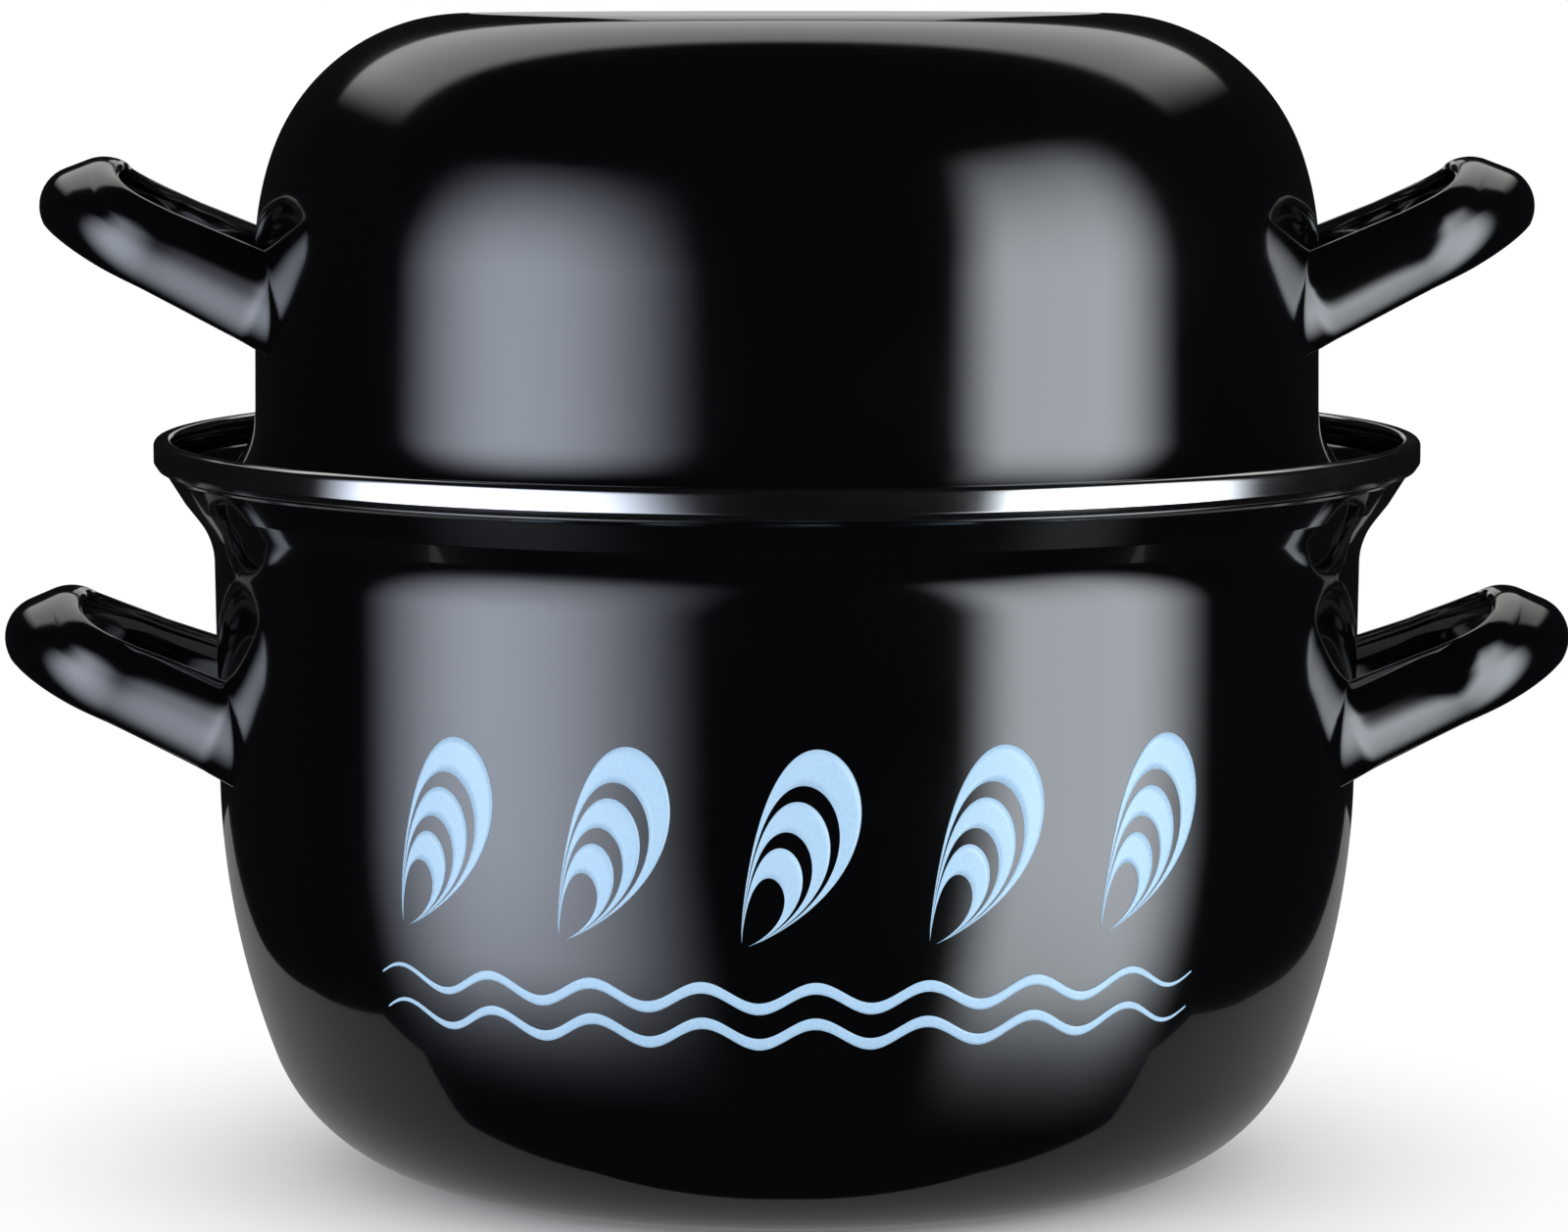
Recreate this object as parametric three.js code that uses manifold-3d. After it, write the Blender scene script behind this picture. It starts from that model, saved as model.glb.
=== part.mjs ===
// Mussel pot with a deep lid that turns over into a bowl for the empty shells.
// Millimetres, +Z up, origin in the middle of the pot's base, handles along X.
import * as THREE from 'three';
import { mergeVertices } from 'three/addons/utils/BufferGeometryUtils.js';
import Module from 'manifold-3d';

// Sheet thicknesses, with the enamel, and the gap left between neighbouring pieces
const SHEET = 1.2;
const HANDLE_SHEET = 2;
const BAND_SHEET = 1.5;
const BEAD_SHEET = 0.8;
const CLEARANCE = 0.3;

// Pot: a flat base, a round corner, a long belly arc, a steep wall, a step out and a short collar
const POT_WALL_R = 108.8;
const POT_WALL_TOP = 121;
const POT_TAPER = 0.8;
const POT_BELLY_TOP = 75;
const POT_BELLY_R = 154;
const POT_CORNER_R = 35;
const STEP_WIDTH = 6.6;
const STEP_LOWER_BEND_R = 5.3;
const STEP_UPPER_BEND_R = 4.1;
const COLLAR_HEIGHT = 1.4;
const FLARE_LOWER_BEND_R = 2.1;
const FLARE_UPPER_BEND_R = 0.9;

// Steel band over the pot's flared edge
const RIM_OVERHANG = 4.6;
const RIM_HEIGHT = 5.7;
const RIM_ROUND = 1;
const RIM_LIP = 3.3;
const EDGE_HEIGHT = 5.4;

// Lid: the same kind of form upside down, with a skirt that flares out to its seat on the pot's step
const LID_INSET = 8;
const LID_HEIGHT = 93.4;
const LID_TAPER = 0.5;
const LID_SHOULDER_TOP = 44.7;
const LID_BELLY_R = 57;
const LID_CORNER_R = 38.9;
const LID_SKIRT_BEND_R = 16;
const LID_EDGE_BEND_R = 2.8;
const LID_PLAY = 4.2;

// Steel bead on the lid's edge
const BEAD_HEIGHT = 3.2;
const BEAD_GRIP = 1.2;
const BEAD_ROUND = 1.5;

// Handles: a gutter-shaped strap bent into a loop, tilted up and welded to the wall by its flared feet.
// The strap's outside is a lower arc, a flat and an upper arc, given by the directions that they face.
// Along the arms it bulges evenly, and at the tip it leans in and rolls over into a rest for the thumb.
const ARM_SECTION = {
  lowerEdge: -52,
  flatFacing: 0,
  upperEdge: 56,
  lowerR: 9.5,
  upperR: 9.5,
  flat: 1,
  drop: 0.5,
};
const TIP_SECTION = {
  lowerEdge: -50,
  flatFacing: 44,
  upperEdge: 120,
  lowerR: 6,
  upperR: 4.5,
  flat: 8.5,
  drop: 2,
};
const TIP_FACING = { full: 10, none: 62 };
const LOOP_SPREAD = 29;
const LOOP_TAPER = 4;
const FOOT_FLARE_LENGTH = 2.5;
const FOOT_GROWTH = 0.1;
const FOOT_DEPTH = 14;
const POT_HANDLE = { z: 87.4, tilt: 22.8, reach: 40.4, flare: 8 };
const LID_HANDLE = { z: 41.9, tilt: 25.3, reach: 40.7, flare: 4 };

// Fineness of the round surfaces
const SEGMENTS = 48;
const CORNER_STEPS = 5;
const BELLY_STEPS = 4;
const BEND_STEPS = 3;
const FLARE_STEPS = 2;
const ROUND_STEPS = 3;
const ARM_STEPS = 5;
const TIP_STEPS = 12;
const SECTION_STEPS = 3;

const { degToRad, radToDeg, lerp, smoothstep } = THREE.MathUtils;

const wasm = await Module();
wasm.setup();

// Points of an arc about a centre, from one angle to another, in degrees
function arc(centre, radius, from, to, steps) {
  const points = [];
  for (let i = 0; i <= steps; i += 1) {
    const angle = degToRad(lerp(from, to, i / steps));
    points.push(new THREE.Vector2(
      centre.x + radius * Math.cos(angle),
      centre.y + radius * Math.sin(angle),
    ));
  }
  return points;
}

// Outline of a bowl, from the middle of its flat floor at height 0 to the top of its wall.
// The corner arc and the belly arc run smoothly into each other, the floor and the wall.
function bowlOutline({ wallR, wallTop, taper, bellyTop, bellyR, cornerR }, offset) {
  const lean = degToRad(taper);
  const belly = new THREE.Vector2(
    wallR - (wallTop - bellyTop) * Math.tan(lean) - bellyR * Math.cos(lean),
    bellyTop + bellyR * Math.sin(lean),
  );
  const drop = cornerR - belly.y;
  const corner = new THREE.Vector2(belly.x + Math.sqrt((bellyR - cornerR) ** 2 - drop ** 2), cornerR);
  const join = radToDeg(Math.atan2(corner.y - belly.y, corner.x - belly.x));
  return [
    new THREE.Vector2(0, -offset),
    ...arc(corner, cornerR + offset, -90, join, CORNER_STEPS),
    ...arc(belly, bellyR + offset, join, -taper, BELLY_STEPS).slice(1),
    new THREE.Vector2(wallR + offset, wallTop),
  ];
}

// How high a double bend rises while it carries the wall out by a given width
function bendRise(width, lowerR, upperR) {
  const radii = lowerR + upperR + SHEET;
  return Math.sqrt(radii ** 2 - (radii - width) ** 2);
}

// Double bend that carries an upright wall out by a given width, without its first point.
// Each bend's radius is that of its hollow side.
function bendOutline(start, width, lowerR, upperR, steps, offset) {
  const outerUpperR = upperR + SHEET;
  const angle = radToDeg(Math.acos(1 - width / (lowerR + outerUpperR)));
  const rise = bendRise(width, lowerR, upperR);
  const lower = new THREE.Vector2(start.x + lowerR, start.y);
  const upper = new THREE.Vector2(start.x + width - outerUpperR, start.y + rise);
  return [
    ...arc(lower, lowerR - offset, 180, 180 - angle, steps).slice(1),
    ...arc(upper, outerUpperR + offset, -angle, 0, steps).slice(1),
  ];
}

// Closed ring or bowl turned about the Z axis from its outline, listed with the solid on its left
function turned(outline) {
  const geometry = new THREE.LatheGeometry(outline, SEGMENTS);
  geometry.rotateX(Math.PI / 2);
  return geometry;
}

// Sheet-metal shell between an outline and the same outline set in by the sheet's thickness
function shell(outlineAt) {
  return turned([...outlineAt(0), ...outlineAt(-SHEET).reverse()]);
}

// Geometry to solid and back, for the cuts
function toSolid(geometry) {
  const bare = geometry.clone();
  bare.deleteAttribute('normal');
  bare.deleteAttribute('uv');
  const merged = mergeVertices(bare, 1e-4);
  return new wasm.Manifold(new wasm.Mesh({
    numProp: 3,
    vertProperties: new Float32Array(merged.attributes.position.array),
    triVerts: new Uint32Array(merged.index.array),
  }));
}

function toGeometry(solid) {
  const mesh = solid.getMesh();
  const geometry = new THREE.BufferGeometry();
  geometry.setAttribute('position', new THREE.BufferAttribute(mesh.vertProperties, 3));
  geometry.setIndex(new THREE.BufferAttribute(mesh.triVerts, 1));
  geometry.computeVertexNormals();
  return geometry;
}

// Pot heights and radii that follow from the driving sizes
const potBowl = {
  wallR: POT_WALL_R,
  wallTop: POT_WALL_TOP,
  taper: POT_TAPER,
  bellyTop: POT_BELLY_TOP,
  bellyR: POT_BELLY_R,
  cornerR: POT_CORNER_R,
};
const collarR = POT_WALL_R + STEP_WIDTH;
const rimR = collarR + RIM_OVERHANG;
const edgeR = rimR - BAND_SHEET - CLEARANCE;
const flareWidth = edgeR - collarR;
const collarZ = POT_WALL_TOP + bendRise(STEP_WIDTH, STEP_LOWER_BEND_R, STEP_UPPER_BEND_R);
const flareZ = collarZ + COLLAR_HEIGHT;
const edgeZ = flareZ + EDGE_HEIGHT;
const rimTop = edgeZ + CLEARANCE + BAND_SHEET;

function potOutline(offset) {
  const wallTop = new THREE.Vector2(POT_WALL_R, POT_WALL_TOP);
  const collarTop = new THREE.Vector2(collarR, flareZ);
  return [
    ...bowlOutline(potBowl, offset),
    ...bendOutline(wallTop, STEP_WIDTH, STEP_LOWER_BEND_R, STEP_UPPER_BEND_R, BEND_STEPS, offset),
    new THREE.Vector2(collarR + offset, flareZ),
    ...bendOutline(collarTop, flareWidth, FLARE_LOWER_BEND_R, FLARE_UPPER_BEND_R, FLARE_STEPS, offset),
    new THREE.Vector2(edgeR + offset, edgeZ),
  ];
}

// Band with a flat face outside and a lip over the pot's edge
function rimBand() {
  const bottom = rimTop - RIM_HEIGHT;
  const lipR = rimR - RIM_LIP;
  const skirtR = rimR - BAND_SHEET;
  const roundAt = (r, z, from) => arc(new THREE.Vector2(r, z), RIM_ROUND, from, from + 90, ROUND_STEPS);
  const outline = [
    new THREE.Vector2(skirtR, bottom),
    ...roundAt(rimR - RIM_ROUND, bottom + RIM_ROUND, -90),
    ...roundAt(rimR - RIM_ROUND, rimTop - RIM_ROUND, 0),
    ...roundAt(lipR + RIM_ROUND, rimTop - RIM_ROUND, 90),
    new THREE.Vector2(lipR, rimTop - BAND_SHEET),
    new THREE.Vector2(skirtR, rimTop - BAND_SHEET),
  ];
  outline.push(outline[0].clone());
  return turned(outline);
}

// Lid sizes that follow from its fit in the pot's collar and on the pot's step
const lidWallR = POT_WALL_R - LID_INSET;
const beadR = collarR - SHEET - LID_PLAY;
const beadWidth = SHEET + 2 * (BEAD_SHEET + CLEARANCE);
const lidEdgeR = beadR - BEAD_SHEET - CLEARANCE;
const lidEdgeZ = BEAD_HEIGHT - BEAD_GRIP + CLEARANCE;
const skirtWidth = lidEdgeR - lidWallR;
const skirtRise = bendRise(skirtWidth, LID_SKIRT_BEND_R, LID_EDGE_BEND_R);
const lidBowl = {
  wallR: lidWallR,
  wallTop: LID_HEIGHT - BEAD_HEIGHT - skirtRise,
  taper: LID_TAPER,
  bellyTop: LID_SHOULDER_TOP,
  bellyR: LID_BELLY_R,
  cornerR: LID_CORNER_R,
};

// Height at which the bead's rounded corner comes to rest on the lower bend of the pot's step
function seatHeight() {
  const bendR = STEP_LOWER_BEND_R + SHEET;
  const across = POT_WALL_R + STEP_LOWER_BEND_R - (beadR - BEAD_ROUND);
  const apart = bendR + CLEARANCE + BEAD_ROUND;
  return POT_WALL_TOP + Math.sqrt(apart ** 2 - across ** 2) - BEAD_ROUND;
}

// Lid outline as a bowl standing on its flat top, heights counted down from that top
function lidOutline(offset) {
  const skirtTop = new THREE.Vector2(lidWallR, lidBowl.wallTop);
  return [
    ...bowlOutline(lidBowl, offset),
    ...bendOutline(skirtTop, skirtWidth, LID_SKIRT_BEND_R, LID_EDGE_BEND_R, BEND_STEPS, offset),
    new THREE.Vector2(lidEdgeR + offset, LID_HEIGHT - lidEdgeZ),
  ];
}

// Turns a bowl-shaped geometry over so that its floor becomes the top of the lid
function overturned(geometry) {
  geometry.rotateX(Math.PI);
  geometry.translate(0, 0, LID_HEIGHT);
  return geometry;
}

// Bead with a groove in its top that takes the lid's edge
function lidBead() {
  const innerR = beadR - beadWidth;
  const grooveZ = BEAD_HEIGHT - BEAD_GRIP;
  const outline = [
    ...arc(new THREE.Vector2(innerR + BEAD_ROUND, BEAD_ROUND), BEAD_ROUND, 180, 270, ROUND_STEPS),
    ...arc(new THREE.Vector2(beadR - BEAD_ROUND, BEAD_ROUND), BEAD_ROUND, 270, 360, ROUND_STEPS),
    new THREE.Vector2(beadR, BEAD_HEIGHT),
    new THREE.Vector2(beadR - BEAD_SHEET, BEAD_HEIGHT),
    new THREE.Vector2(beadR - BEAD_SHEET, grooveZ),
    new THREE.Vector2(innerR + BEAD_SHEET, grooveZ),
    new THREE.Vector2(innerR + BEAD_SHEET, BEAD_HEIGHT),
    new THREE.Vector2(innerR, BEAD_HEIGHT),
  ];
  outline.push(outline[0].clone());
  return turned(outline);
}

// Stations along a handle's loop in its own plane: x away from the wall, y across.
// Two straight arms lean towards each other and run into one round tip. Each arm's foot turns
// outwards as it nears the wall at footX, and its strap reaches lower down.
function loopStations(length, footX, footFlare) {
  const lean = degToRad(LOOP_TAPER);
  const side = 90 - LOOP_TAPER;
  const tipR = (LOOP_SPREAD * Math.cos(lean) - length * Math.sin(lean)) / (1 - Math.sin(lean));
  const tipX = length - tipR;
  const armEnd = tipX + tipR * Math.sin(lean);
  const armXs = [footX - FOOT_DEPTH];
  for (let i = 0; i < ARM_STEPS; i += 1) {
    armXs.push(lerp(footX, armEnd, (i / ARM_STEPS) ** 2));
  }
  const arm = armXs.map((x) => {
    const flare = footFlare * Math.exp(-Math.max(x - footX, 0) / FOOT_FLARE_LENGTH);
    const growth = 1 + FOOT_GROWTH * Math.min((armEnd - x) / (armEnd - footX), 1);
    return { x, y: LOOP_SPREAD - x * Math.tan(lean) + flare, facing: side, tip: 0, growth };
  });
  const tip = [];
  for (let i = 0; i <= TIP_STEPS; i += 1) {
    const facing = lerp(side, -side, i / TIP_STEPS);
    tip.push({
      x: tipX + tipR * Math.cos(degToRad(facing)),
      y: tipR * Math.sin(degToRad(facing)),
      facing,
      tip: 1 - smoothstep(Math.abs(facing), TIP_FACING.full, TIP_FACING.none),
      growth: 1,
    });
  }
  const otherArm = arm.map((station) => ({ ...station, y: -station.y, facing: -station.facing })).reverse();
  return [...arm, ...tip, ...otherArm];
}

// One face of the strap's section: x out of the loop, y along its axis, moved out by the offset
function strapFace(section, offset) {
  const { lowerEdge, flatFacing, upperEdge, lowerR, upperR, flat, drop } = section;
  const across = degToRad(flatFacing);
  const lower = new THREE.Vector2(-lowerR, -drop);
  const upper = new THREE.Vector2(
    lower.x + (lowerR - upperR) * Math.cos(across) - flat * Math.sin(across),
    lower.y + (lowerR - upperR) * Math.sin(across) + flat * Math.cos(across),
  );
  return [
    ...arc(lower, lowerR + offset, lowerEdge, flatFacing, SECTION_STEPS),
    ...arc(upper, upperR + offset, flatFacing, upperEdge, SECTION_STEPS),
  ];
}

// Closed section of the strap at one station, as points of the loop's frame
function strapSection({ x, y, facing, tip, growth }) {
  const section = {};
  for (const key of Object.keys(ARM_SECTION)) {
    section[key] = lerp(ARM_SECTION[key], TIP_SECTION[key], tip);
  }
  const out = degToRad(facing);
  const outline = [...strapFace(section, 0), ...strapFace(section, -HANDLE_SHEET).reverse()];
  return outline.map((point) => new THREE.Vector3(
    x + point.x * Math.cos(out),
    y + point.x * Math.sin(out),
    point.y < 0 ? point.y * growth : point.y,
  ));
}

// Closed strap through the sections of all stations
function strap(length, footX, footFlare) {
  const sections = loopStations(length, footX, footFlare).map(strapSection);
  const count = sections[0].length;
  const index = [];
  for (let i = 0; i + 1 < sections.length; i += 1) {
    for (let j = 0; j < count; j += 1) {
      const a = i * count + j;
      const b = i * count + (j + 1) % count;
      index.push(a, b, a + count, b, b + count, a + count);
    }
  }
  const last = (sections.length - 1) * count;
  for (let j = 0; j + 1 < count / 2; j += 1) {
    const a = j;
    const b = j + 1;
    const c = count - 1 - j;
    const d = count - 2 - j;
    index.push(a, c, b, b, c, d);
    index.push(last + a, last + b, last + c, last + b, last + d, last + c);
  }
  const geometry = new THREE.BufferGeometry().setFromPoints(sections.flat());
  geometry.setIndex(index);
  return geometry;
}

// Handle on the +X side, with its feet cut to the wall that carries it
function handle({ z, tilt, reach, flare }, wallR, wall) {
  const lean = degToRad(tilt);
  const length = (reach - TIP_SECTION.lowerR) / Math.cos(lean) + TIP_SECTION.lowerR;
  const footX = (Math.sqrt(wallR ** 2 - LOOP_SPREAD ** 2) - wallR) / Math.cos(lean);
  const geometry = strap(length, footX, flare);
  geometry.rotateY(-lean);
  geometry.translate(wallR, 0, z);
  return toGeometry(toSolid(geometry).subtract(wall));
}

function enamel() {
  return new THREE.MeshStandardMaterial({ color: 0x08090c, roughness: 0.12, metalness: 0 });
}

function steel() {
  return new THREE.MeshStandardMaterial({ color: 0xc9cbcc, roughness: 0.18, metalness: 1 });
}

function addMesh(parent, name, geometry, material) {
  const mesh = new THREE.Mesh(geometry, material);
  mesh.name = name;
  parent.add(mesh);
  return mesh;
}

function addHandlePair(parent, prefix, geometry) {
  addMesh(parent, `${prefix}_handle_right`, geometry, enamel());
  const left = addMesh(parent, `${prefix}_handle_left`, geometry, enamel());
  left.rotation.z = Math.PI;
}

// Solid block of everything inside a wall, for cutting the handles' feet
function wallBlock(outline) {
  const top = new THREE.Vector2(0, outline.at(-1).y);
  return turned([...outline, top]);
}

const pot = new THREE.Group();
addMesh(pot, 'pot_shell', shell(potOutline), enamel());
addMesh(pot, 'pot_rim_band', rimBand(), steel());
const potBlock = toSolid(wallBlock(potOutline(CLEARANCE)));
addHandlePair(pot, 'pot', handle(POT_HANDLE, POT_WALL_R, potBlock));

const lid = new THREE.Group();
addMesh(lid, 'lid_shell', overturned(shell(lidOutline)), enamel());
addMesh(lid, 'lid_rim_bead', lidBead(), steel());
const lidBlock = toSolid(overturned(wallBlock(lidOutline(CLEARANCE))));
addHandlePair(lid, 'lid', handle(LID_HANDLE, lidWallR, lidBlock));
lid.position.z = seatHeight();

const musselPot = new THREE.Group();
musselPot.add(pot, lid);

export default musselPot;
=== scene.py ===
"""Looks of a mussel pot with a deep lid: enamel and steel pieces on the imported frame, light and camera.

Metres, +Z up, origin in the middle of the pot's base, handles along X, camera on the -Y side.
"""
import math

import bpy
import numpy as np
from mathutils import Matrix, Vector


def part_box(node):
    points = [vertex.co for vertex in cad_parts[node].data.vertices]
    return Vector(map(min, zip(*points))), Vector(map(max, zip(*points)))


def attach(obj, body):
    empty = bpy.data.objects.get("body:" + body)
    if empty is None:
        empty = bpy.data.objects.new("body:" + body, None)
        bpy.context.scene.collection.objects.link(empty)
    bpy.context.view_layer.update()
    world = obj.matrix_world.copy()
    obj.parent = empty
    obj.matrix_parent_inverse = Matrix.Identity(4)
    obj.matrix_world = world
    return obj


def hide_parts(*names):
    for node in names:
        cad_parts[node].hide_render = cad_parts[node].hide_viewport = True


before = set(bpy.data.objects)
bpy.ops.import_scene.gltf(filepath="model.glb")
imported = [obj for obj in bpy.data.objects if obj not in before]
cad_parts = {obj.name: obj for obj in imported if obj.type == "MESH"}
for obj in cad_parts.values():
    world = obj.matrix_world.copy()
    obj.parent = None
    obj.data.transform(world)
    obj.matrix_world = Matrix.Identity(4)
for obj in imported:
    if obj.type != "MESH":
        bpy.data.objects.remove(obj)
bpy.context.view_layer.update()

# Heights and radii that the frame gives
rim_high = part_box("pot_rim_band")[1]
bead_low, bead_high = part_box("lid_rim_bead")
RIM_R = rim_high.x
RIM_TOP = rim_high.z
BEAD_R = bead_high.x
BEAD_Z = bead_low.z
LID_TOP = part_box("lid_shell")[1].z

# Sheet thicknesses, and how far a gripped edge or a welded foot reaches into its neighbour
SHEET = 0.0012
HANDLE_SHEET = 0.002
BAND_SHEET = 0.0015
BEAD_SHEET = 0.0008
CLEARANCE = 0.0003
WELD_DEPTH = 0.0003

# Pot: a flat base, a round corner, a long belly arc and a steep wall
POT_BOWL = {"wall_r": 0.10873, "wall_top": 0.1158, "taper": 0.8, "belly_top": 0.075, "belly_r": 0.154,
            "corner_r": 0.035}

# Above it a step out, a leaning collar and a flare into the band. Each bend has its radius, below zero
# where it is hollow outside, and the angle that it ends up facing; each straight stretch has its length.
POT_EDGE = (
    {"radius": -0.014, "facing": -38},
    {"length": 0.0041},
    {"radius": 0.002, "facing": -32},
    {"length": 0.0058},
    {"radius": -0.001, "facing": -50},
    {"length": 0.0005},
    {"radius": 0.0008, "facing": 0},
)
EDGE_DEPTH = 0.0022

# Steel band over the pot's flared edge: an upright face with its lower border turned under
RIM_HEIGHT = 0.0057
RIM_FACE = 0.0044
RIM_TURN_UNDER = 0.0009
RIM_LIP = 0.0033
RIM_TOP_ROUND = 0.0013
RIM_LIP_ROUND = 0.0009
RIM_FACE_ROUND = 0.0004
RIM_INNER_ROUND = 0.0002

# Lid: the same kind of form upside down, with a skirt that flares out to its seat
LID_WALL_R = 0.1008
LID_HEIGHT = LID_TOP - BEAD_Z
LID_TAPER = 0.5
LID_SHOULDER_TOP = 0.0447
LID_BELLY_R = 0.057
LID_CORNER_R = 0.0389
LID_BENDS = (0.016, 0.0028)

# The walls that carry handles and print: above this height on the pot, and this far below the lid's top
POT_WALL_FROM = 0.02
LID_WALL_BELOW = 0.01

# Steel bead on the lid's edge
BEAD_HEIGHT = bead_high.z - bead_low.z
BEAD_GRIP = 0.0012
BEAD_ROUND = 0.0015
BEAD_EDGE_ROUND = 0.0003
BEAD_GROOVE_ROUND = 0.0002

# Handles: a gutter-shaped strap bent into a loop. Its outside is a lower arc, a flat and an upper arc,
# given by the directions that they face, along the arms and at the tip, where it rolls over.
ARM_SECTION = {"lower_edge": -52, "flat_facing": 0, "upper_edge": 56, "lower_r": 0.0115,
               "upper_r": 0.0077, "flat": 0.001, "drop": -0.001}
TIP_SECTION = {"lower_edge": -58, "flat_facing": 44, "upper_edge": 104, "lower_r": 0.0075,
               "upper_r": 0.0072, "flat": 0.0048, "drop": 0.0004}
TIP_FULL_FACING = 10
ARM_FULL_FACING = 74
LOOP_SPREAD = 0.029
LOOP_TAPER = 4
SPLAY_START = 0.006
FOOT_FLARE_LENGTH = 0.0008
FOOT_TOE_SLOPE = 0.45
FOOT_GROWTH_BELOW = 0.10
FOOT_GROWTH_ABOVE = 0.15
WELD_WIDTH = 0.0005
WELD_LENGTH = 0.0004
FOOT_SEARCH_IN = 0.016
FOOT_SEARCH_OUT = 0.008
FOOT_SEARCH_STEPS = 40

# Where the loops leave the wall, how they tilt and stand out, and how their arms spread to the feet
POT_HANDLE = {"wall_r": 0.1088, "z": 0.0874, "tilt": 22.8, "reach": 0.0403, "splay": 0.17, "flare": 0.0013}
LID_HANDLE = {"wall_r": LID_WALL_R, "z": BEAD_Z + 0.0419, "tilt": 25.3, "reach": 0.0406, "splay": 0.08,
              "flare": 0.0011}

# Fineness of the meshes
RING_SEGMENTS = 192
CORNER_STEPS = 24
BEND_STEPS = 10
ROUND_STEPS = 6
WALL_PIECE = 0.004
ARM_ROWS = 26
TIP_ROWS = 56
SECTION_STEPS = 12
LIP_STEPS = 6
ON_AXIS = 1e-7

# Camera in front of the pot, about level with the lid's top, and tilted down
CAMERA_PLACE = (-0.00056, -1.1, 0.2265)
CAMERA_PITCH = 6.334
CAMERA_LENS = 132.95
CAMERA_SENSOR = 36.0


# Outlines in the plane of radius and height

def arc(centre, radius, start, end, steps):
    """Points of an arc about a centre, from one angle to another in degrees."""
    points = []
    for i in range(steps + 1):
        angle = math.radians(start + (end - start) * i / steps)
        points.append((centre[0] + radius * math.cos(angle), centre[1] + radius * math.sin(angle)))
    return points


def line(start, end):
    """Points of a straight stretch after its start, close enough together for smooth shading."""
    pieces = max(1, math.ceil(math.dist(start, end) / WALL_PIECE))
    points = []
    for i in range(1, pieces + 1):
        share = i / pieces
        points.append((start[0] + (end[0] - start[0]) * share, start[1] + (end[1] - start[1]) * share))
    return points


def bowl_outline(bowl, offset):
    """Outline of a bowl from the middle of its floor to the top of its wall, moved out by the offset."""
    lean = math.radians(bowl["taper"])
    belly_r = bowl["belly_r"]
    corner_r = bowl["corner_r"]
    belly_top_r = bowl["wall_r"] - (bowl["wall_top"] - bowl["belly_top"]) * math.tan(lean)
    belly = (belly_top_r - belly_r * math.cos(lean), bowl["belly_top"] + belly_r * math.sin(lean))
    drop = corner_r - belly[1]
    corner = (belly[0] + math.sqrt((belly_r - corner_r) ** 2 - drop ** 2), corner_r)
    join = math.degrees(math.atan2(corner[1] - belly[1], corner[0] - belly[0]))
    floor = (0.0, -offset)
    points = [floor, *line(floor, (corner[0], -offset))]
    points += arc(corner, corner_r + offset, -90, join, CORNER_STEPS)[1:]
    points += arc(belly, belly_r + offset, join, -bowl["taper"], CORNER_STEPS)[1:]
    points += line(points[-1], (bowl["wall_r"] + offset, bowl["wall_top"]))
    return points


def bend_rise(width, bends):
    """How high a double bend rises while it carries the wall out by a given width."""
    radii = sum(bends) + SHEET
    return math.sqrt(radii ** 2 - (radii - width) ** 2)


def bend_outline(start, width, bends, offset):
    """Double bend that carries an upright wall out, without its first point."""
    lower_r, upper_r = bends[0], bends[1] + SHEET
    angle = math.degrees(math.acos(1 - width / (lower_r + upper_r)))
    lower = (start[0] + lower_r, start[1])
    upper = (start[0] + width - upper_r, start[1] + bend_rise(width, bends))
    points = arc(lower, lower_r - offset, 180, 180 - angle, BEND_STEPS)[1:]
    return points + arc(upper, upper_r + offset, -angle, 0, BEND_STEPS)[1:]


def run_on(start, facing, stretches, offset):
    """Outline that goes up from a start through bends and straight stretches, without its first point."""
    points = []
    place = Vector(start)

    def out(angle):
        return Vector((math.cos(math.radians(angle)), math.sin(math.radians(angle))))

    for stretch in stretches:
        if "length" in stretch:
            place = place + Vector((-out(facing).y, out(facing).x)) * stretch["length"]
            points.append(tuple(place + out(facing) * offset))
            continue
        radius = stretch["radius"]
        centre = place - out(facing) * radius
        for i in range(1, BEND_STEPS + 1):
            angle = facing + (stretch["facing"] - facing) * i / BEND_STEPS
            points.append(tuple(centre + out(angle) * (radius + offset)))
        facing = stretch["facing"]
        place = centre + out(facing) * radius
    return points


def rounded(corners):
    """Closed outline whose corners, each with a radius, height and rounding, are rounded off."""
    outline = []
    for i, (r, z, rounding) in enumerate(corners):
        corner = Vector((r, z))
        back = (Vector(corners[i - 1][:2]) - corner).normalized()
        ahead = (Vector(corners[(i + 1) % len(corners)][:2]) - corner).normalized()
        half = back.angle(ahead) / 2
        centre = corner + (back + ahead).normalized() * rounding / math.sin(half)
        first = corner + back * rounding / math.tan(half) - centre
        last = corner + ahead * rounding / math.tan(half) - centre
        start = math.degrees(math.atan2(first.y, first.x))
        turn = math.degrees(math.atan2(last.y, last.x)) - start
        turn = (turn + 180) % 360 - 180
        outline += arc(centre, rounding, start, start + turn, ROUND_STEPS)
    return outline


# Meshes

def new_piece(name, vertices, faces):
    """Smooth-shaded mesh object in the row frame."""
    mesh = bpy.data.meshes.new(name)
    mesh.from_pydata(vertices, [], faces)
    mesh.validate()
    mesh.shade_smooth()
    piece = bpy.data.objects.new(name, mesh)
    bpy.context.scene.collection.objects.link(piece)
    return piece


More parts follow.
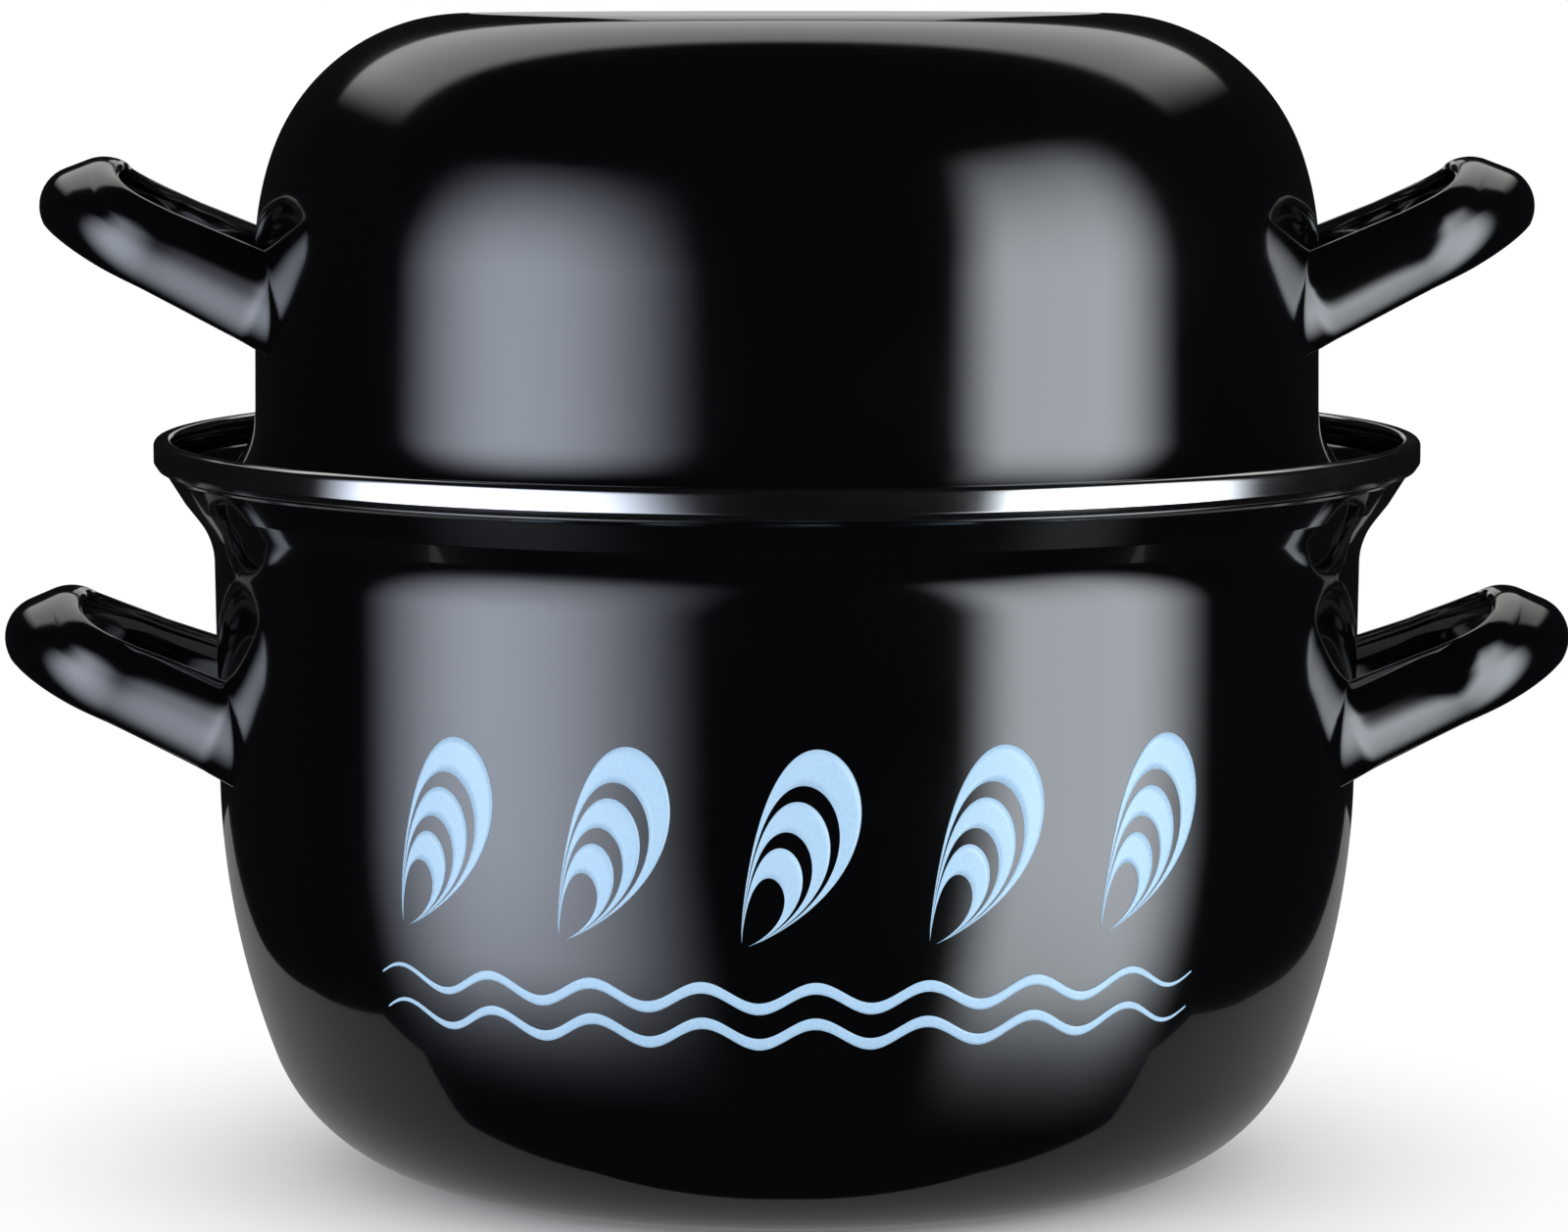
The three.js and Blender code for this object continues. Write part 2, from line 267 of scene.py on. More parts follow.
def turned(name, outline, closed):
    """Piece turned about the Z axis from an outline that has the solid on its left."""
    vertices = []
    rings = []
    for r, z in outline:
        if r < ON_AXIS:
            rings.append([len(vertices)] * RING_SEGMENTS)
            vertices.append((0.0, 0.0, z))
            continue
        rings.append(list(range(len(vertices), len(vertices) + RING_SEGMENTS)))
        for j in range(RING_SEGMENTS):
            angle = 2 * math.pi * j / RING_SEGMENTS
            vertices.append((r * math.cos(angle), r * math.sin(angle), z))
    if closed:
        rings.append(rings[0])
    faces = []
    for low, high in zip(rings, rings[1:]):
        for j in range(RING_SEGMENTS):
            k = (j + 1) % RING_SEGMENTS
            face = [low[j], low[k], high[k], high[j]]
            faces.append(list(dict.fromkeys(face)))
    return new_piece(name, vertices, faces)


def shell_outline(outline_at):
    """Outline of a sheet-metal shell: its outside, a rounded edge and its inside."""
    outside = outline_at(0.0)
    inside = outline_at(-SHEET)
    middle_r = (outside[-1][0] + inside[-1][0]) / 2
    edge = arc((middle_r, outside[-1][1]), SHEET / 2, 0, 180, ROUND_STEPS)[1:-1]
    return outside + edge + inside[::-1]


def pot_outline(offset):
    points = bowl_outline(POT_BOWL, offset)
    points += run_on((POT_BOWL["wall_r"], POT_BOWL["wall_top"]), -POT_BOWL["taper"], POT_EDGE, offset)
    points += line(points[-1], (points[-1][0], RIM_TOP - EDGE_DEPTH))
    return points


def rim_band_outline():
    bottom = RIM_TOP - RIM_HEIGHT
    skirt_r = RIM_R - BAND_SHEET
    lip_r = RIM_R - RIM_LIP
    under = RIM_TOP - BAND_SHEET
    return rounded([
        (skirt_r, bottom, RIM_INNER_ROUND),
        (RIM_R - RIM_TURN_UNDER, bottom, RIM_INNER_ROUND),
        (RIM_R, RIM_TOP - RIM_FACE, RIM_FACE_ROUND),
        (RIM_R, RIM_TOP, RIM_TOP_ROUND),
        (lip_r, RIM_TOP, RIM_LIP_ROUND),
        (lip_r, under, RIM_FACE_ROUND),
        (skirt_r, under, RIM_INNER_ROUND),
    ])


lid_edge_r = BEAD_R - BEAD_SHEET - CLEARANCE
lid_edge_z = BEAD_HEIGHT - BEAD_GRIP + CLEARANCE + SHEET / 2
skirt_width = lid_edge_r - LID_WALL_R
LID_BOWL = {"wall_r": LID_WALL_R, "wall_top": LID_HEIGHT - BEAD_HEIGHT - bend_rise(skirt_width, LID_BENDS),
            "taper": LID_TAPER, "belly_top": LID_SHOULDER_TOP, "belly_r": LID_BELLY_R,
            "corner_r": LID_CORNER_R}


def lid_outline(offset):
    """Lid as a bowl that stands on its flat top, with heights counted down from that top."""
    points = bowl_outline(LID_BOWL, offset)
    points += bend_outline((LID_WALL_R, LID_BOWL["wall_top"]), skirt_width, LID_BENDS, offset)
    points += line(points[-1], (lid_edge_r + offset, LID_HEIGHT - lid_edge_z))
    return points


def overturned(outline):
    """The bowl's outline turned over into the lid's place, with the solid still on its left."""
    return [(r, LID_TOP - h) for r, h in reversed(outline)]


def lid_bead_outline():
    inner_r = BEAD_R - SHEET - 2 * (BEAD_SHEET + CLEARANCE)
    groove_z = BEAD_Z + BEAD_HEIGHT - BEAD_GRIP
    top = BEAD_Z + BEAD_HEIGHT
    return rounded([
        (inner_r, BEAD_Z, BEAD_ROUND),
        (BEAD_R, BEAD_Z, BEAD_ROUND),
        (BEAD_R, top, BEAD_EDGE_ROUND),
        (BEAD_R - BEAD_SHEET, top, BEAD_EDGE_ROUND),
        (BEAD_R - BEAD_SHEET, groove_z, BEAD_GROOVE_ROUND),
        (inner_r + BEAD_SHEET, groove_z, BEAD_GROOVE_ROUND),
        (inner_r + BEAD_SHEET, top, BEAD_EDGE_ROUND),
        (inner_r, top, BEAD_EDGE_ROUND),
    ])


# Handles

def smoothstep(value, low, high):
    share = min(max((value - low) / (high - low), 0), 1)
    return share * share * (3 - 2 * share)


def strap_section(part):
    """Closed section of the strap with rounded lips, as points out of the loop and along its axis."""
    lip_r = HANDLE_SHEET / 2
    lower_r, upper_r = part["lower_r"], part["upper_r"]
    low = part["lower_edge"] + math.degrees(lip_r / (lower_r - lip_r))
    high = part["upper_edge"] - math.degrees(lip_r / (upper_r - lip_r))
    facing = part["flat_facing"]
    across = math.radians(facing)
    lower = (-lower_r, -part["drop"])
    upper = (lower[0] + (lower_r - upper_r) * math.cos(across) - part["flat"] * math.sin(across),
             lower[1] + (lower_r - upper_r) * math.sin(across) + part["flat"] * math.cos(across))

    def face(offset):
        return (arc(lower, lower_r + offset, low, facing, SECTION_STEPS)
                + arc(upper, upper_r + offset, facing, high, SECTION_STEPS))

    top_lip = arc(arc(upper, upper_r - lip_r, high, high, 1)[0], lip_r, high, high + 180, LIP_STEPS)
    bottom_lip = arc(arc(lower, lower_r - lip_r, low, low, 1)[0], lip_r, low + 180, low + 360, LIP_STEPS)
    return np.array(face(0) + top_lip[1:-1] + face(-HANDLE_SHEET)[::-1] + bottom_lip[1:-1])


arm_section = strap_section(ARM_SECTION)
tip_section = strap_section(TIP_SECTION)


def foot_flare(distance, flare):
    """How far the arm swings out at a distance from its foot: a curve that ends in a straight toe."""
    toe = -FOOT_FLARE_LENGTH * math.log(FOOT_TOE_SLOPE * FOOT_FLARE_LENGTH / flare)
    if distance >= toe:
        return flare * math.exp(-distance / FOOT_FLARE_LENGTH)
    return FOOT_TOE_SLOPE * (FOOT_FLARE_LENGTH + toe - distance)


def handle(name, place, wall_outline, side):
    """Loop handle on one side, with each line of its strap run out to the wall that carries it."""
    wall_r = place["wall_r"]
    heights = np.array([z for _, z in wall_outline])
    radii = np.array([r for r, _ in wall_outline])
    tilt = math.radians(place["tilt"])
    tip_low_r = TIP_SECTION["lower_r"]
    length = (place["reach"] - tip_low_r) / math.cos(tilt) + tip_low_r
    foot_x = (math.sqrt(wall_r ** 2 - LOOP_SPREAD ** 2) - wall_r) / math.cos(tilt)
    lean = math.radians(LOOP_TAPER)
    arm_facing = 90 - LOOP_TAPER
    tip_r = (LOOP_SPREAD * math.cos(lean) - length * math.sin(lean)) / (1 - math.sin(lean))
    tip_x = length - tip_r
    arm_end = tip_x + tip_r * math.sin(lean)

    def in_row_frame(x, y, up):
        out = wall_r + x * math.cos(tilt) - up * math.sin(tilt)
        return (side * out, side * y, place["z"] + x * math.sin(tilt) + up * math.cos(tilt))

    def on_arm(x, out, up, weld=0.0):
        along = max(arm_end - x, 0)
        splay = place["splay"] * along ** 2 / (along + SPLAY_START)
        y = LOOP_SPREAD - x * math.tan(lean) + splay + foot_flare(x - foot_x, place["flare"]) + weld
        growth = FOOT_GROWTH_BELOW if up < 0 else FOOT_GROWTH_ABOVE
        up *= 1 + growth * min((arm_end - x) / (arm_end - foot_x), 1)
        turn = math.radians(arm_facing)
        return in_row_frame(x + out * math.cos(turn), y + out * math.sin(turn), up)

    def foot(out, up):
        """Where a line of the strap goes into the wall."""
        inside, outside = foot_x - FOOT_SEARCH_IN, foot_x + FOOT_SEARCH_OUT
        for _ in range(FOOT_SEARCH_STEPS):
            middle = (inside + outside) / 2
            x, y, z = on_arm(middle, out, up, WELD_WIDTH)
            if math.hypot(x, y) > np.interp(z, heights, radii) - WELD_DEPTH:
                outside = middle
            else:
                inside = middle
        return outside

    feet = [foot(out, up) for out, up in arm_section]
    rows = []
    for i in range(ARM_ROWS):
        share = (i / ARM_ROWS) ** 2
        row = []
        for x, (out, up) in zip(feet, arm_section):
            away = (arm_end - x) * share
            row.append(on_arm(x + away, out, up, WELD_WIDTH * math.exp(-away / WELD_LENGTH)))
        rows.append(row)
    for i in range(TIP_ROWS + 1):
        facing = arm_facing * (1 - 2 * i / TIP_ROWS)
        turn = math.radians(facing)
        arm_share = smoothstep(abs(facing), TIP_FULL_FACING, ARM_FULL_FACING)
        section = tip_section + (arm_section - tip_section) * arm_share
        row = []
        for out, up in section:
            bend_r = tip_r + out
            row.append(in_row_frame(tip_x + bend_r * math.cos(turn), bend_r * math.sin(turn), up))
        rows.append(row)
    for row in reversed(rows[:ARM_ROWS]):
        rows.append([(x, -y, z) for x, y, z in row])

    count = len(arm_section)
    faces = []
    for i in range(len(rows) - 1):
        for j in range(count):
            a = i * count + j
            b = i * count + (j + 1) % count
            faces.append((a, b, b + count, a + count))
    faces.append(tuple(range(count - 1, -1, -1)))
    last = (len(rows) - 1) * count
    faces.append(tuple(range(last, last + count)))
    piece = new_piece(name, [point for row in rows for point in row], faces)

    # Marks the lips, where the enamel is thin
    face_points = 2 * (SECTION_STEPS + 1)
    lip_points = LIP_STEPS - 1
    lip = [0.0] * face_points + [1.0] * lip_points + [0.0] * face_points + [1.0] * lip_points
    attribute = piece.data.attributes.new("lip", "FLOAT", "POINT")
    attribute.data.foreach_set("value", lip * len(rows))
    return piece


pot_wall = [point for point in pot_outline(0.0) if point[1] > POT_WALL_FROM]
lid_wall = [point for point in overturned(lid_outline(0.0)) if point[1] < LID_TOP - LID_WALL_BELOW]

pot_bowl = turned("pot_bowl", shell_outline(pot_outline), False)
pot_edge_band = turned("pot_edge_band", rim_band_outline(), True)
pot_loop_right = handle("pot_loop_right", POT_HANDLE, pot_wall, 1)
pot_loop_left = handle("pot_loop_left", POT_HANDLE, pot_wall, -1)
lid_dome = turned("lid_dome", overturned(shell_outline(lid_outline)), False)
lid_edge_bead = turned("lid_edge_bead", lid_bead_outline(), True)
lid_loop_right = handle("lid_loop_right", LID_HANDLE, lid_wall, 1)
lid_loop_left = handle("lid_loop_left", LID_HANDLE, lid_wall, -1)

PIECES = [
    (pot_bowl, "pot", "pot_shell", "enamel"),
    (pot_edge_band, "pot", "pot_rim_band", "steel"),
    (pot_loop_left, "pot", "pot_handle_left", "enamel"),
    (pot_loop_right, "pot", "pot_handle_right", "enamel"),
    (lid_dome, "lid", "lid_shell", "enamel"),
    (lid_edge_bead, "lid", "lid_rim_bead", "steel"),
    (lid_loop_left, "lid", "lid_handle_left", "enamel"),
    (lid_loop_right, "lid", "lid_handle_right", "enamel"),
]
for piece, body, node, slot in PIECES:
    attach(piece, body)
    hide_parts(node)


# Materials

def add_node(tree, kind, inputs=None, **settings):
    """New shader node with its settings, and with values or other nodes' outputs on its inputs."""
    node = tree.nodes.new(kind)
    for key, value in settings.items():
        setattr(node, key, value)
    for key, value in (inputs or {}).items():
        if isinstance(value, bpy.types.NodeSocket):
            tree.links.new(value, node.inputs[key])
        else:
            node.inputs[key].default_value = value
    return node


def new_material(name):
    material = bpy.data.materials.new(name)
    material.use_nodes = True
    tree = material.node_tree
    return material, tree, tree.nodes["Principled BSDF"]


def object_place(tree):
    """Where a point of the surface is in the piece's own frame."""
    return add_node(tree, "ShaderNodeTexCoord").outputs["Object"]


def distance_out(tree, place):
    """How far a place is from the origin."""
    return add_node(tree, "ShaderNodeVectorMath", {0: place}, operation="LENGTH").outputs["Value"]


def noise(tree, place, scale, detail, **inputs):
    """Cloudy value between 0 and 1."""
    inputs.update({"Vector": place, "Scale": scale, "Detail": detail})
    return add_node(tree, "ShaderNodeTexNoise", inputs).outputs["Fac"]


def calculate(tree, operation, first, second):
    """Result of one operation on two values."""
    return add_node(tree, "ShaderNodeMath", {0: first, 1: second}, operation=operation).outputs[0]


def ramp(tree, value, span, to):
    """Value carried from one span to another, held at the ends."""
    node = add_node(tree, "ShaderNodeMapRange", {
        "Value": value, "From Min": span[0], "From Max": span[1], "To Min": to[0], "To Max": to[1]})
    return node.outputs["Result"]


def fade(tree, value, start, end):
    """Soft change from 0 where the value is at the start to 1 where it is at the end."""
    node = add_node(tree, "ShaderNodeMapRange", {"Value": value, "From Min": start, "From Max": end},
                    interpolation_type="SMOOTHSTEP")
    return node.outputs["Result"]


def mix_colour(tree, share, first, second):
    node = add_node(tree, "ShaderNodeMix", data_type="RGBA")
    tree.links.new(share, node.inputs[0])
    for socket, colour in ((node.inputs[6], first), (node.inputs[7], second)):
        if isinstance(colour, bpy.types.NodeSocket):
            tree.links.new(colour, socket)
        else:
            socket.default_value = (*colour, 1.0)
    return node.outputs[2]


def mix_surface(tree, share, first, second):
    """Makes the surface a mix of two shaders."""
    mixed = add_node(tree, "ShaderNodeMixShader", {0: share, 1: first, 2: second})
    tree.links.new(mixed.outputs[0], tree.nodes["Material Output"].inputs["Surface"])


# Span that takes in most of a noise
NOISE_SPAN = (0.3, 0.7)

ENAMEL_DEEP = (0.0008, 0.0009, 0.0012)
ENAMEL_CLOUDED = (0.0020, 0.0021, 0.0026)
ENAMEL_WORN = (0.030, 0.027, 0.026)
ENAMEL_ROUGHNESS = (0.07, 0.16)
ENAMEL_WAVE_DEPTH = 0.00003
ENAMEL_PEEL_DEPTH = 0.0000008
GLASS_IOR = 1.5
GLASS_ROUGHNESS = 0.03
LIP_WEAR = (0.25, 1.0)
LIP_WEAR_SPAN = (0.4, 0.65)
SPECK_COLOUR = (0.05, 0.05, 0.05)
SPECK_HEIGHT = 0.00002
SPECK_SIZE = (0.0, 0.05)
SPECK_SPAN = (0.93, 1.0)


def enamel_material():
    """Black glass enamel: deep gloss with slow waves, a fine orange peel and a few specks."""
    material, tree, shader = new_material("black_enamel")
    place = object_place(tree)
    waves = noise(tree, place, scale=24.0, detail=2.0)
    peel = noise(tree, place, scale=330.0, detail=2.0)
    smears = noise(tree, place, scale=13.0, detail=5.0, Roughness=0.6, Distortion=0.6)
    cells = add_node(tree, "ShaderNodeTexVoronoi", {"Vector": place, "Scale": 105.0}).outputs
    speck_size = ramp(tree, cells["Color"], SPECK_SPAN, SPECK_SIZE)
    specks = calculate(tree, "LESS_THAN", cells["Distance"], speck_size)
    lip = add_node(tree, "ShaderNodeAttribute", attribute_name="lip").outputs["Fac"]
    thin = calculate(tree, "MULTIPLY", lip, ramp(tree, smears, LIP_WEAR_SPAN, LIP_WEAR))

    depth = mix_colour(tree, smears, ENAMEL_DEEP, ENAMEL_CLOUDED)
    worn = mix_colour(tree, thin, depth, ENAMEL_WORN)
    tree.links.new(mix_colour(tree, specks, worn, SPECK_COLOUR), shader.inputs["Base Color"])
    tree.links.new(ramp(tree, smears, NOISE_SPAN, ENAMEL_ROUGHNESS), shader.inputs["Roughness"])
    shader.inputs["IOR"].default_value = GLASS_IOR
    shader.inputs["Coat Weight"].default_value = 1.0
    shader.inputs["Coat Roughness"].default_value = GLASS_ROUGHNESS
    shader.inputs["Coat IOR"].default_value = GLASS_IOR

    slow = add_node(tree, "ShaderNodeBump", {"Height": waves, "Distance": ENAMEL_WAVE_DEPTH})
    fine = add_node(tree, "ShaderNodeBump", {"Height": peel, "Distance": ENAMEL_PEEL_DEPTH,
                                             "Normal": slow.outputs["Normal"]})
    raised = add_node(tree, "ShaderNodeBump", {"Height": specks, "Distance": SPECK_HEIGHT,
                                               "Normal": fine.outputs["Normal"]})
    tree.links.new(raised.outputs["Normal"], shader.inputs["Normal"])
    tree.links.new(slow.outputs["Normal"], shader.inputs["Coat Normal"])
    return material


STEEL_DULL = (0.66, 0.67, 0.68)
STEEL_BRIGHT = (0.78, 0.78, 0.77)
STEEL_ROUGHNESS = (0.06, 0.20)
STEEL_ROUGHNESS_SPAN = (0.1, 0.45)
STEEL_LINES_ROUND = 3.0
STEEL_LINES_ACROSS = 9000.0
STEEL_LINE_DEPTH = 0.000002


def steel_material():
    """Polished stainless steel with fine lines round the axis and faint smears."""
    material, tree, shader = new_material("polished_steel")
    place = object_place(tree)
    axes = add_node(tree, "ShaderNodeSeparateXYZ", {0: place}).outputs
    angle = calculate(tree, "ARCTAN2", axes["Y"], axes["X"])
    across = calculate(tree, "ADD", axes["Z"], distance_out(tree, place))
    round_place = add_node(tree, "ShaderNodeCombineXYZ", {"X": angle, "Y": across}).outputs[0]
    stretch = add_node(tree, "ShaderNodeMapping", {
        "Vector": round_place, "Scale": (STEEL_LINES_ROUND, STEEL_LINES_ACROSS, 1.0)})
    lines = noise(tree, stretch.outputs[0], scale=1.0, detail=3.0)
    smears = noise(tree, place, scale=40.0, detail=4.0)
    tree.links.new(mix_colour(tree, smears, STEEL_DULL, STEEL_BRIGHT), shader.inputs["Base Color"])
    shader.inputs["Metallic"].default_value = 1.0
    dullness = calculate(tree, "MULTIPLY", lines, smears)
    tree.links.new(ramp(tree, dullness, STEEL_ROUGHNESS_SPAN, STEEL_ROUGHNESS), shader.inputs["Roughness"])
    bump = add_node(tree, "ShaderNodeBump", {"Height": lines, "Distance": STEEL_LINE_DEPTH})
    tree.links.new(bump.outputs["Normal"], shader.inputs["Normal"])
    return material


PRINT_DEEP = (0.37, 0.57, 0.77)
PRINT_PALE = (0.45, 0.65, 0.83)
PRINT_ROUGHNESS = (0.22, 0.34)
PRINT_GRAIN_DEPTH = 0.000003


def print_material():
    """Pale blue enamel print, a little uneven where it was laid on."""
    material, tree, shader = new_material("pale_print")
    place = object_place(tree)
    cloud = noise(tree, place, scale=60.0, detail=4.0)
    grain = noise(tree, place, scale=1400.0, detail=1.0)
    tree.links.new(mix_colour(tree, cloud, PRINT_DEEP, PRINT_PALE), shader.inputs["Base Color"])
    tree.links.new(ramp(tree, grain, NOISE_SPAN, PRINT_ROUGHNESS), shader.inputs["Roughness"])
    bump = add_node(tree, "ShaderNodeBump", {"Height": grain, "Distance": PRINT_GRAIN_DEPTH})
    tree.links.new(bump.outputs["Normal"], shader.inputs["Normal"])
    return material


# Print on the front of the pot: mussel shells over a double line of waves

PRINT_LIFT = 0.00006
PRINT_ROOT = 0.00008
SHELL_COUNT = 5
SHELL_LENGTH = 0.038
SHELL_WIDTH = 0.0215
SHELL_BOW = 0.0024
SHELL_POINTEDNESS = 0.8
SHELL_BANDS = ((1.0, 0.82), (0.74, 0.59), (0.51, 0.36))
SHELL_OPEN = 30
SHELL_POINTS = 72
SHELL_SPACING = 0.0335
SHELL_TILT = 24
SHELL_SHIFT = 0.008
SHELL_Z = 0.0580
WAVE_HALF = 0.082
WAVE_LENGTH = 0.0205
WAVE_HEIGHT = 0.0019
WAVE_THICKNESS = 0.0021
WAVE_THINNING = 0.85
WAVE_ZS = (0.0490, 0.0425)
WAVE_POINTS = 260
BAND_POINTS = 5

print_heights = np.array([z for _, z in pot_wall])
print_radii = np.array([r for r, _ in pot_wall])


def on_front(across, z, lift):
    """Point on the pot's wall, given by its distance round the wall from the middle of the front."""
    radius = float(np.interp(z, print_heights, print_radii)) + lift
    angle = across / POT_BOWL["wall_r"]
    return (radius * math.sin(angle), -radius * math.cos(angle), z)


def add_slab(vertices, faces, grid):
    """Thin closed slab on the pot's front under a grid of points, rows by columns."""
    rows, columns = len(grid), len(grid[0])
    top = len(vertices)
    vertices += [on_front(across, z, PRINT_LIFT) for row in grid for across, z in row]
    bottom = len(vertices)
    vertices += [on_front(across, z, -PRINT_ROOT) for row in grid for across, z in row]

    def quad(start, i, j):
        a = start + i * columns + j
        return (a, a + 1, a + columns + 1, a + columns)

    for i in range(rows - 1):
        for j in range(columns - 1):
            faces.append(quad(top, i, j))
            faces.append(quad(bottom, i, j)[::-1])
    rim = list(range(columns))
    rim += [i * columns + columns - 1 for i in range(1, rows)]
    rim += [(rows - 1) * columns + j for j in range(columns - 2, -1, -1)]
    rim += [i * columns for i in range(rows - 2, 0, -1)]
    for a, b in zip(rim, rim[1:] + rim[:1]):
        faces.append((top + b, top + a, bottom + a, bottom + b))


def shell_band(middle, tilt, outer, inner):
    """Grid of one growth band of a shell, whose hinge end points down."""
    grid = []
    lean = math.radians(tilt)
    for i in range(SHELL_POINTS + 1):
        turn = math.radians(SHELL_OPEN + (360 - 2 * SHELL_OPEN) * i / SHELL_POINTS)
        row = []
        for j in range(BAND_POINTS):
            size = outer + (inner - outer) * j / (BAND_POINTS - 1)
            along = (1 - math.cos(turn)) / 2
            u = SHELL_WIDTH / 2 * math.sin(turn) * math.sin(turn / 2) ** SHELL_POINTEDNESS
            u += SHELL_BOW * 4 * along * (1 - along)
            v = SHELL_LENGTH * along
            u, v = u * size, v * size
            row.append((middle + u * math.cos(lean) + v * math.sin(lean),
                        SHELL_Z - u * math.sin(lean) + v * math.cos(lean)))
        grid.append(row)
    return grid


def wave_grid(z):
    """Grid of one wavy line that thins out towards its ends."""
    grid = []
    for i in range(WAVE_POINTS + 1):
        across = WAVE_HALF * (2 * i / WAVE_POINTS - 1)
        middle = z + WAVE_HEIGHT * math.sin(2 * math.pi * across / WAVE_LENGTH)
        thick = WAVE_THICKNESS * (1 - WAVE_THINNING * (across / WAVE_HALF) ** 4)
        grid.append([(across, middle + thick * (0.5 - j / (BAND_POINTS - 1))) for j in range(BAND_POINTS)])
    return grid


print_vertices = []
print_faces = []
for k in range(SHELL_COUNT):
    shell_middle = (k - (SHELL_COUNT - 1) / 2) * SHELL_SPACING - SHELL_SHIFT
    for outer, inner in SHELL_BANDS:
        add_slab(print_vertices, print_faces, shell_band(shell_middle, SHELL_TILT, outer, inner))
for z in WAVE_ZS:
    add_slab(print_vertices, print_faces, wave_grid(z))
front_print = new_piece("front_print", print_vertices, print_faces)
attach(front_print, "pot")

enamel = enamel_material()
steel = steel_material()
for piece, _, _, slot in PIECES:
    piece.data.materials.append(enamel if slot == "enamel" else steel)
front_print.data.materials.append(print_material())


# Floor, dark studio and light

def stage_mesh(name, vertices, faces, material):
    piece = new_piece(name, vertices, faces)
    piece.data.materials.append(material)
    return piece


def square(half, z):
    """Corners of a level square about the Z axis."""
    return [(-half, -half, z), (half, -half, z), (half, half, z), (-half, half, z)]


def only_in_reflections(piece):
    piece.visible_camera = False
    piece.visible_diffuse = False
    piece.visible_shadow = False
    piece.visible_transmission = False
    piece.visible_volume_scatter = False


def light_path_white(tree):
    """Share of white background: all of it for what is seen, mirrored or seen through."""
    path = add_node(tree, "ShaderNodeLightPath").outputs
    seen = calculate(tree, "MAXIMUM", path["Is Camera Ray"], path["Is Glossy Ray"])
    return calculate(tree, "MAXIMUM", seen, path["Is Transmission Ray"])


FLOOR_HALF = 6.0
FLOOR_Z = -0.0001
FLOOR_COLOUR = (0.86, 0.86, 0.86, 1.0)
FLOOR_SHADED_R = 0.04
FLOOR_WHITE_R = 0.18
AMBIENT = 0.70
AMBIENT_COLOUR = (1.0, 0.99, 0.97, 1.0)


def floor_material():
    """Pale floor that keeps the shadow near the pot and runs out into plain white."""
    material, tree, shader = new_material("pale_floor")
    shader.inputs["Base Color"].default_value = FLOOR_COLOUR
    shader.inputs["Roughness"].default_value = 0.9
    shader.inputs["Specular IOR Level"].default_value = 0.0
    far = fade(tree, distance_out(tree, object_place(tree)), FLOOR_SHADED_R, FLOOR_WHITE_R)
    share = calculate(tree, "MULTIPLY", far, light_path_white(tree))
    white = add_node(tree, "ShaderNodeEmission", {"Strength": 1.0})
    mix_surface(tree, share, shader.outputs[0], white.outputs[0])
    return material


floor = stage_mesh("floor", square(FLOOR_HALF, FLOOR_Z), [(0, 1, 2, 3)], floor_material())
floor.visible_glossy = False

# What the pot mirrors besides the lamps: a dark table top, painted shade that hides the lamps' lower ends
# from the belly, a pale sheet that lies on it and widens to the back, a grey card straight behind, and a
# dark room, painted shade round it all
TABLE_CENTRE_X = -0.012
TABLE_DARK_R = 0.116
TABLE_END_R = 0.215
TABLE_Z = -0.0005
SHEET_Z = -0.0002
SHEET_EDGE = ((0.0, -0.088), (0.04, -0.0865), (0.08, -0.0785), (0.12, -0.0765), (0.15, -0.06), (0.175, 0.0),
              (0.188, 0.05), (0.20, 0.10), (0.29, 0.40))
SHEET_LEVEL = 0.20
CARD_HALF = 0.25
CARD_Y = 3.5
CARD_LOW = -0.1
CARD_HIGH = 1.7
CARD_LEVEL = 0.45
ROOM_R = 4.0
ROOM_COLUMNS = 48
ROOM_ROWS = 24
# Colour of the dark table and the dark room: painted shade, seen only in reflections
DARK = (0.008, 0.008, 0.009, 1.0)


def glow_material(name, level):
    material, tree, _ = new_material(name)
    glow = add_node(tree, "ShaderNodeEmission", {"Strength": level})
    tree.links.new(glow.outputs[0], tree.nodes["Material Output"].inputs["Surface"])
    return material


def dark_material(name):
    material, _, shader = new_material(name)
    shader.inputs["Base Color"].default_value = DARK
    shader.inputs["Specular IOR Level"].default_value = 0.0
    return material


def shade_table_material():
    """Dark table top, painted shade seen only in reflections, that fades out towards its edge."""
    material = dark_material("painted_shade_table")
    tree = material.node_tree
    edge = fade(tree, distance_out(tree, object_place(tree)), TABLE_DARK_R, TABLE_END_R)
    clear = add_node(tree, "ShaderNodeBsdfTransparent")
    mix_surface(tree, edge, tree.nodes["Principled BSDF"].outputs[0], clear.outputs[0])
    return material


def mirrored_panel(name, corners, material):
    """Flat panel that is only seen in reflections."""
    panel = stage_mesh(name, corners, [range(len(corners))], material)
    only_in_reflections(panel)
    return panel


# Dark table under the pot: painted shade, seen only in reflections
table = mirrored_panel("table", square(TABLE_END_R, 0.0), shade_table_material())
table.location = (TABLE_CENTRE_X, 0.0, TABLE_Z)
sheet_corners = [(x, y, SHEET_Z) for x, y in SHEET_EDGE]
sheet_corners += [(-x, y, SHEET_Z) for x, y in reversed(SHEET_EDGE[1:])]
mirrored_panel("table_sheet", sheet_corners, glow_material("pale_sheet", SHEET_LEVEL))
mirrored_panel("back_card", [(-CARD_HALF, CARD_Y, CARD_LOW), (CARD_HALF, CARD_Y, CARD_LOW),
                            (CARD_HALF, CARD_Y, CARD_HIGH), (-CARD_HALF, CARD_Y, CARD_HIGH)],
              glow_material("grey_card", CARD_LEVEL))


